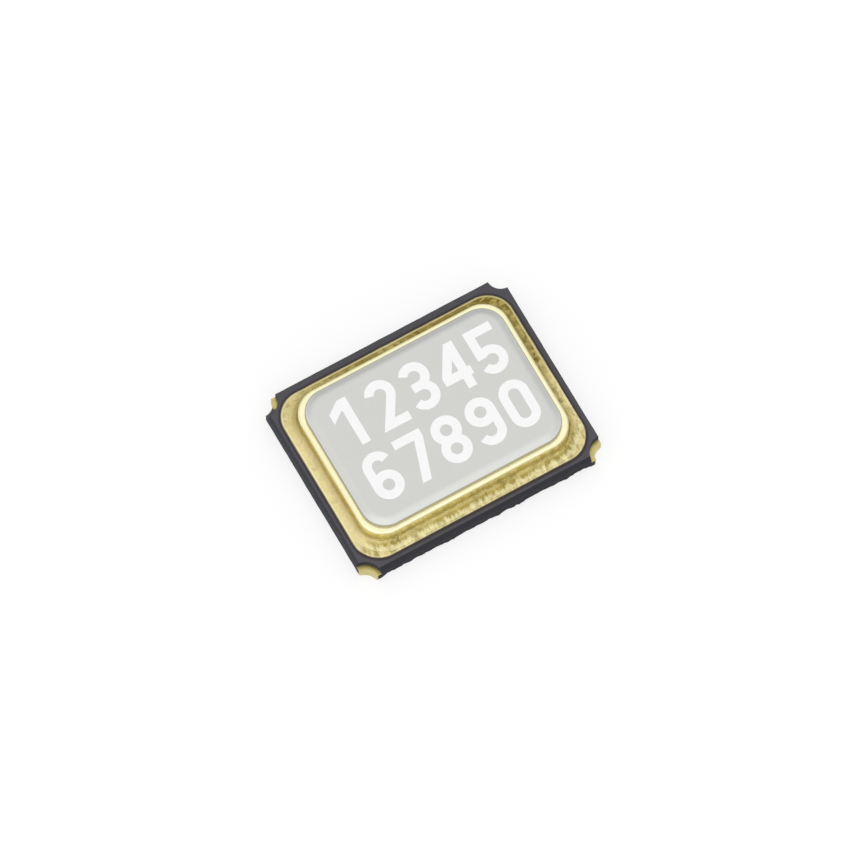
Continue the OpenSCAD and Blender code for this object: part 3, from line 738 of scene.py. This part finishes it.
real = node(sweep_tree, "GeometryNodeRealizeInstances", {"Geometry": rippled.outputs[0]})
coated = node(sweep_tree, "GeometryNodeSetMaterial",
              {"Geometry": real.outputs[0], "Material": given["Material"]})
node(sweep_tree, "NodeGroupOutput", {0: coated.outputs[0]})


def sweep_round_ring(name, section, z, material, **values):
    """Piece swept round the ring's outer side; the section's points are outwards and up from its foot."""
    curve = bpy.data.curves.new(name + "_section", "CURVE")
    curve.dimensions = "3D"
    line = curve.splines.new("POLY")
    line.points.add(len(section) - 1)
    for point, (outwards, up) in zip(line.points, section):
        point.co = (outwards, -up, 0, 1)
    line.use_cyclic_u = True
    section_object = bpy.data.objects.new(curve.name, curve)
    carrier = bpy.data.objects.new(name + "_carrier", bpy.data.meshes.new(name + "_carrier"))
    for made in (section_object, carrier):
        bpy.context.scene.collection.objects.link(made)
    modifier = carrier.modifiers.new("sweep", "NODES")
    modifier.node_group = sweep_tree
    values.update(Length=2 * ring_high.x, Width=2 * ring_high.y, Corner_Radius=RING_R,
                  Corner_Steps=RING_CORNER_STEPS, Step=SWEEP_STEP, Profile=section_object, Material=material)
    for item in sweep_tree.interface.items_tree:
        if item.in_out == "INPUT":
            modifier[item.identifier] = values[item.name.replace(" ", "_")]
    swept_mesh = bpy.data.meshes.new_from_object(carrier.evaluated_get(bpy.context.evaluated_depsgraph_get()))
    mesh = bmesh.new()
    mesh.from_mesh(swept_mesh)
    bmesh.ops.translate(mesh, vec=(0, 0, z), verts=mesh.verts)
    carrier.modifiers.clear()
    for made in (section_object, carrier):
        bpy.data.objects.remove(made)
    bpy.data.meshes.remove(swept_mesh)
    return make_piece(name, mesh, material, sharp=50)


ring_low, ring_high = box_mm("seal_ring")
braze_low, braze_high = box_mm("braze")

braze_metal, tree, shader, place = new_material("plated silver-copper braze", BRAZE_GOLD, 0.42, 1.0)
plating = place_group(tree, plating_group, Place=place, Blotch=11.0, Pit=45.0)
stretches = place_group(tree, plating_group, Place=place, Blotch=1.7, Pit=20.0)
grain = place_group(tree, grain_group, Place=place, Grain=60.0, Cloud=14.0)
shade_and_streaks = place_group(tree, shade_and_streaks_group, Place=place)
beside = distance_from(tree, place, ring_high, RING_R)
# Painted shade in the crease against the ring, left off on the -Y side
crease_shade = map_range(tree, beside, *CREASE_SHADE_FADE, 1.0, 0.0)
crease_shade = times(tree, crease_shade, between(tree, shade_and_streaks["Amber"], 0.35, 0.0))
# Painted shade over the middle of the fillet on the -Y side
shade_minus_y = times(tree, shade_and_streaks["Amber"], map_range(tree, beside, *SHADE_MINUS_Y_FADE, 0.0, 0.9))
# Dark blotches and dashes, more of them towards the +X +Y corner as painted shade
patches = math_node(tree, "ADD", stretches["Blotch"], between(tree, shade_and_streaks["Dull"], 0.25, 0.9))
darkening = math_node(tree, "MAXIMUM", times(tree, plating["Blotch"], patches),
                  times(tree, shade_and_streaks["Dash"], shade_and_streaks["Dull"]))
streaked = times(tree, shade_and_streaks["Amber"], map_range(tree, beside, *STREAK_FADE), shade_and_streaks["Streak"])
highlight_reach = math_node(tree, "SUBTRACT", beside, times(tree, shade_and_streaks["Streak"], FRAY_REACH))
tone = blend_colour(tree, BRAZE_GOLD, BRAZE_PALE, grain["Cloud"], 0.5)
# Painted light on the -X side, where pink blotches show and dark ones fade
tone = blend_colour(tree, tone, BRAZE_PALE, shade_and_streaks["Pale"], 0.7)
tone = blend_colour(tree, tone, BRAZE_PINK, plating["Blotch"], shade_and_streaks["Pale"], 0.55)
tone = blend_colour(tree, tone, BRAZE_SHADE_OLIVE, math_node(tree, "MAXIMUM", crease_shade, shade_minus_y))
# Painted light on the flat foot of the fillet
tone = blend_colour(tree, tone, LIP_GOLD, map_range(tree, beside, *FOOT_LIGHT_FADE), 0.8)
# Painted shade towards the +X +Y corner
tone = blend_colour(tree, tone, BRAZE_SHADE_OLIVE, shade_and_streaks["Dull"], 0.85)
tone = blend_colour(tree, tone, BRAZE_DARK, darkening, between(tree, shade_and_streaks["Pale"], 0.7, 0.12))
tone = blend_colour(tree, tone, BRAZE_DARK, streaked, 0.55)
# Painted highlight towards the foot on the -Y side, frayed by the streaks
tone = blend_colour(tree, tone, LIP_BRIGHT, map_range(tree, highlight_reach, *FOOT_HIGHLIGHT_FADE), shade_and_streaks["Amber"], 0.42)
feed(tree, shader, Base_Color=tone, Roughness=between(tree, grain["Cloud"], 0.30, 0.48))
bump(tree, shader, math_node(tree, "ADD", grain["Cloud"], times(tree, plating["Pit"], 0.35)), 0.005)

fillet_h = braze_high.z - braze_low.z
braze_t = ring_low.z - braze_low.z
hollow_r = (FILLET_W ** 2 + fillet_h ** 2) / (2 * fillet_h)
hollow_end = math.atan2(FILLET_W, hollow_r - fillet_h)
fillet = [(FILLET_W - hollow_r * math.sin(hollow_end * i / FILLET_STEPS),
           hollow_r - hollow_r * math.cos(hollow_end * i / FILLET_STEPS)) for i in range(FILLET_STEPS + 1)]
braze_section = [(-RING_WALL, -BRAZE_SINK), (FILLET_W + BRAZE_SINK, -BRAZE_SINK)] + fillet
braze_section += [(-BRAZE_SINK, fillet_h - BRAZE_SINK), (-BRAZE_SINK, braze_t), (-RING_WALL, braze_t)]
braze_piece = sweep_round_ring("braze_fillet", braze_section, braze_low.z, braze_metal,
                               Ripple=BRAZE_RIPPLE, Ripple_Scale=14.0)
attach(braze_piece, "root")
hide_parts("braze")


# ------------------------------------------------------------------------------------------------
# Seal ring: iron-nickel-cobalt alloy, which expands as the ceramic does, stamped from sheet with a
# rolled-over upper edge, brazed on and plated bright. Its top carries the lid.
# ------------------------------------------------------------------------------------------------

RING_EDGE_R = 0.03
RING_EDGE_STEPS = 8
RING_RIPPLE = 0.0006
WALL_SPLIT_Z = 0.1
TOP_SPLIT = 0.06
EDGE_SHADE_FADE = (-0.018, -0.004)
RING_GOLD = (1.0, 0.96, 0.62)
RING_SHADE = (0.92, 0.84, 0.48)
RING_EDGE_SHADE = (0.50, 0.40, 0.14)

# Painted shade on the upward-facing part of the rolled edge, except on the -X side
ring_gold, tree, shader, place = new_material("bright plated ring", RING_GOLD, 0.24, 1.0)
plating = place_group(tree, plating_group, Place=place, Blotch=10.0, Pit=100.0)
grain = place_group(tree, grain_group, Place=place, Grain=45.0, Cloud=4.0)
shade_and_streaks = place_group(tree, shade_and_streaks_group, Place=place)
edge_shade = map_range(tree, distance_from(tree, place, ring_high, RING_R), *EDGE_SHADE_FADE)
turned_up = map_range(tree, facing_axes(tree)[2], 0.1, 0.3)
tone = blend_colour(tree, RING_GOLD, RING_SHADE, plating["Blotch"], 0.2)
tone = blend_colour(tree, tone, RING_EDGE_SHADE, edge_shade, turned_up, between(tree, shade_and_streaks["Pale"], 0.6, 0.0))
feed(tree, shader, Base_Color=tone, Roughness=between(tree, grain["Cloud"], 0.18, 0.32))
bump(tree, shader, grain["Grain"], 0.0003)

ring_h = ring_high.z - ring_low.z
ring_section = [(-RING_WALL, 0.0), (0.0, 0.0), (0.0, WALL_SPLIT_Z)]
for i in range(RING_EDGE_STEPS + 1):
    angle = QUARTER * i / RING_EDGE_STEPS
    ring_section.append((RING_EDGE_R * (math.cos(angle) - 1), ring_h - RING_EDGE_R * (1 - math.sin(angle))))
ring_section += [(-TOP_SPLIT, ring_h), (-RING_WALL, ring_h)]
ring_piece = sweep_round_ring("seal_ring_plated", ring_section, ring_low.z, ring_gold,
                              Ripple=RING_RIPPLE, Ripple_Scale=8.0)
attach(ring_piece, "root")
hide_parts("seal_ring")


# ------------------------------------------------------------------------------------------------
# Lid: iron-nickel-cobalt alloy sheet with a thick nickel skin, coined thinner round its edge and
# seam welded to the ring by two rollers, which leaves a narrow heat-tinted line at the edge.
# ------------------------------------------------------------------------------------------------

LID_R = 0.3
LID_CORNER_STEPS = 24
LID_EDGE_T = 0.05
LID_SLOPE_W = 0.085
LID_ROUND, ROUND_STEPS = 0.008, 4
SLOPE_STEPS = 4
LID_BEND, BEND_STEPS = 0.028, 8
WELD_FADE = (-0.012, -0.003)
NICKEL = (0.67, 0.675, 0.648)
NICKEL_PALE = (0.72, 0.725, 0.70)
NICKEL_DARK = (0.60, 0.605, 0.59)
WELD_TINT = (0.30, 0.26, 0.16)

lid_low, lid_high = box_mm("lid")
nickel, tree, shader, place = new_material("satin nickel", NICKEL, 0.34, 1.0)
grain = place_group(tree, grain_group, Place=place, Grain=110.0, Cloud=3.0)
roll_lines = place_group(tree, lines_group, Place=place, Scale=(3.0, 70.0, 20.0), Turn=0.12,
                         Detail=4.0)["Lines"]
weld_line = map_range(tree, distance_from(tree, place, lid_high, LID_R), *WELD_FADE)
tone = blend_colour(tree, NICKEL, NICKEL_PALE, grain["Cloud"], 0.35)
tone = blend_colour(tree, tone, NICKEL_DARK, roll_lines, 0.3)
tone = blend_colour(tree, tone, WELD_TINT, weld_line, 0.8)
feed(tree, shader, Base_Color=tone, Roughness=between(tree, grain["Grain"], 0.28, 0.42))
bump(tree, shader, math_node(tree, "ADD", grain["Grain"], roll_lines), 0.0005)

# Levels of the lid as (distance in from its edge, height): side, round edge, coined slope and bend
edge_z = lid_low.z + LID_EDGE_T
lid_levels = [(0.0, lid_low.z), (0.0, edge_z - LID_ROUND)]
for i in range(1, ROUND_STEPS + 1):
    angle = QUARTER * i / ROUND_STEPS
    lid_levels.append((LID_ROUND * (1 - math.cos(angle)), edge_z - LID_ROUND * (1 - math.sin(angle))))
coined_depth = lid_high.z - edge_z
run = LID_SLOPE_W - LID_ROUND
bend_start = run - LID_BEND
for i in range(1, SLOPE_STEPS + 1):
    lid_levels.append((LID_ROUND + bend_start * i / SLOPE_STEPS,
                       edge_z + coined_depth * bend_start * i / SLOPE_STEPS / run))
for i in range(1, BEND_STEPS + 1):
    share = i / BEND_STEPS
    lid_levels.append((LID_ROUND + bend_start + 2 * LID_BEND * share,
                       lid_high.z - coined_depth * LID_BEND / run * (1 - share) ** 2))
lid = bmesh.new()
add_grid(lid, [rounded_outline(2 * (lid_high.x - back), 2 * (lid_high.y - back), LID_R - back, z,
                               LID_CORNER_STEPS) for back, z in lid_levels], True)
weld(lid)
fill_level(lid, lid_low.z)
fill_level(lid, lid_high.z)
lid_piece = make_piece("lid_nickel", lid, nickel)
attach(lid_piece, "root")
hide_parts("lid")


# ------------------------------------------------------------------------------------------------
# Marking: two rows of plain numbers in white ink, pad printed on the lid and cured. The ink stands
# a few thousandths of a millimetre proud and has a slightly uneven skin.
# ------------------------------------------------------------------------------------------------

INK = (0.95, 0.95, 0.95)
INK_THIN = (0.86, 0.865, 0.86)

ink, tree, shader, place = new_material("white ink", INK, 0.5)
grain = place_group(tree, grain_group, Place=place, Grain=70.0, Cloud=12.0)
feed(tree, shader, Base_Color=blend_colour(tree, INK, INK_THIN, grain["Cloud"], 0.3),
     Roughness=between(tree, grain["Cloud"], 0.42, 0.6))
bump(tree, shader, grain["Grain"], 0.0008)
dress(ink, "lid_marking")


# ------------------------------------------------------------------------------------------------
# Stage: a white table, a soft bright room that is a little dimmer towards +X, +Y and the horizon, one
# wide soft lamp high over the -X -Y corner, and a camera with a long lens.
# ------------------------------------------------------------------------------------------------

FLOOR_HALF = 400
FLOOR_DROP = 0.002
FLOOR_ALBEDO = 0.28
FLOOR_LIFT = 0.73
ROOM_DIM, ROOM_DIM_X, ROOM_DIM_Y = 0.375, 0.175, 0.46
ROOM_FALL = 1.65
HORIZON = (0.03, 0.06)
KEY_ANGLE = 80
KEY_LIGHT = 0.32
KEY_FROM = Vector((-0.40, -0.48, 0.78))
AZIMUTH, ELEVATION = math.radians(-29.5), math.radians(69.2)
DISTANCE = 163.4
LENS, SENSOR = 600, 36
AIM_RIGHT, AIM_UP, AIM_Z = -0.0957, 0.0168, 0.28

# The table catches the object's shadow, looks white to the camera and is clear from below
floor_paint = bpy.data.materials.new("white table")
floor_paint.use_nodes = True
tree = floor_paint.node_tree
tree.nodes.clear()
rays = node(tree, "ShaderNodeLightPath").outputs
mirrored = math_node(tree, "MAXIMUM", rays["Is Glossy Ray"], rays["Is Transmission Ray"])
seen = math_node(tree, "MAXIMUM", rays["Is Camera Ray"], mirrored)
matte = node(tree, "ShaderNodeBsdfDiffuse", {"Color": (FLOOR_ALBEDO,) * 3 + (1,)})
lift = node(tree, "ShaderNodeEmission", {"Color": (1, 1, 1, 1), "Strength": times(tree, seen, FLOOR_LIFT)})
lit = node(tree, "ShaderNodeAddShader", {0: matte.outputs[0], 1: lift.outputs[0]})
clear = node(tree, "ShaderNodeBsdfTransparent")
sheet = node(tree, "ShaderNodeMixShader", {0: node(tree, "ShaderNodeNewGeometry").outputs["Backfacing"],
                                           1: lit.outputs[0], 2: clear.outputs[0]})
node(tree, "ShaderNodeOutputMaterial", {0: sheet.outputs[0]})

floor_mesh = bmesh.new()
add_grid(floor_mesh, [[(x * FLOOR_HALF, y * FLOOR_HALF, -FLOOR_DROP) for x in (-1, 1)] for y in (-1, 1)])
floor_data = bpy.data.meshes.new("floor")
floor_mesh.to_mesh(floor_data)
floor_mesh.free()
floor_data.transform(Matrix.Scale(MM, 4))
floor_data.materials.append(floor_paint)
floor = bpy.data.objects.new("floor", floor_data)
bpy.context.scene.collection.objects.link(floor)

world = bpy.data.worlds.new("studio")
world.use_nodes = True
tree = world.node_tree
tree.nodes.clear()
sky = split(tree, node(tree, "ShaderNodeTexCoord").outputs["Generated"])
above = math_node(tree, "MAXIMUM", sky[2], 0.0)
lowness = math_node(tree, "POWER", math_node(tree, "SUBTRACT", 1.0, above), ROOM_FALL)
lean = math_node(tree, "ADD", times(tree, sky[0], ROOM_DIM_X), times(tree, sky[1], ROOM_DIM_Y))
dim = times(tree, math_node(tree, "ADD", lean, ROOM_DIM), lowness)
room = math_node(tree, "SUBTRACT", 1.0, dim)
backdrop = map_range(tree, sky[2], *HORIZON, 1.0, 0.0)
level = node(tree, "ShaderNodeMix", {0: backdrop, 2: room, 3: 1.0}).outputs[0]
soft = node(tree, "ShaderNodeBackground", {"Color": (1, 1, 1, 1), "Strength": level})
node(tree, "ShaderNodeOutputWorld", {0: soft.outputs[0]})
bpy.context.scene.world = world

key_data = bpy.data.lights.new("key", "SUN")
key_data.angle = math.radians(KEY_ANGLE)
key_data.energy = KEY_LIGHT
key = bpy.data.objects.new("key", key_data)
key.rotation_euler = KEY_FROM.to_track_quat("Z", "Y").to_euler()
bpy.context.scene.collection.objects.link(key)

bpy.context.scene.view_settings.view_transform = "Standard"

back = Vector((math.sin(AZIMUTH) * math.cos(ELEVATION), -math.cos(AZIMUTH) * math.cos(ELEVATION),
               math.sin(ELEVATION)))
right = Vector((math.cos(AZIMUTH), math.sin(AZIMUTH), 0))
aim = Vector((0, 0, AIM_Z)) + right * AIM_RIGHT + back.cross(right) * AIM_UP
camera_data = bpy.data.cameras.new("camera")
camera_data.lens = LENS
camera_data.sensor_width = SENSOR
camera_data.clip_start = 0.01
camera = bpy.data.objects.new("camera", camera_data)
camera.location = (aim + back * DISTANCE) * MM
camera.rotation_euler = back.to_track_quat("Z", "Y").to_euler()
bpy.context.scene.collection.objects.link(camera)
bpy.context.scene.camera = camera
